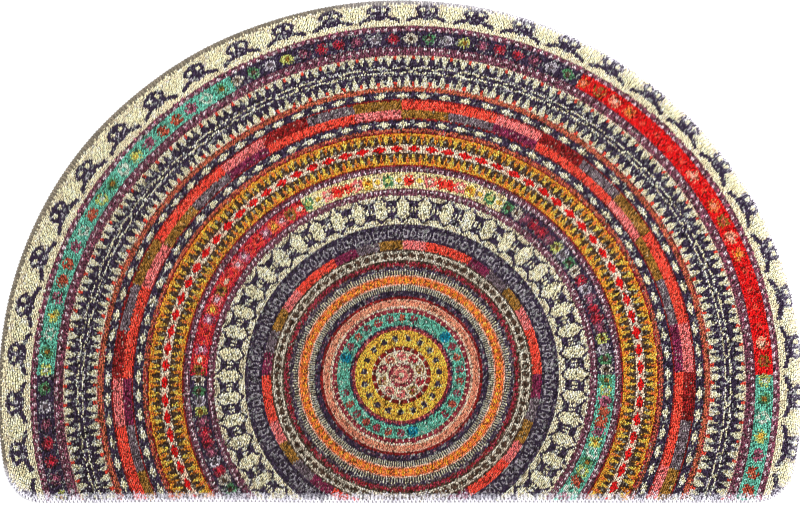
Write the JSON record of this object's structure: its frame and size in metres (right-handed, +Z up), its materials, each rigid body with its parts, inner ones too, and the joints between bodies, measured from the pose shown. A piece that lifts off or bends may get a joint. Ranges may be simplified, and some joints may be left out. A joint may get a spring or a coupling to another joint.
{
  "type": "half-moon hooked rug",
  "caption": "Half-moon hooked wool rug with concentric half rings of small geometric ornament and an overcast edge, lying flat.",
  "frame": {"origin": "middle of the underside's bounding box, on the floor", "axes": "+X along the straight edge, +Y towards the round side, +Z up through the pile"},
  "size_m": [0.7514, 0.4962, 0.0087],
  "materials": {
    "rug_body": "matt wool pile",
    "edge_binding": "matt overcast yarn"
  },
  "bodies": {
    "root": {"rug_body": "rug_body", "edge_binding": "edge_binding"}
  },
  "joints": []
}
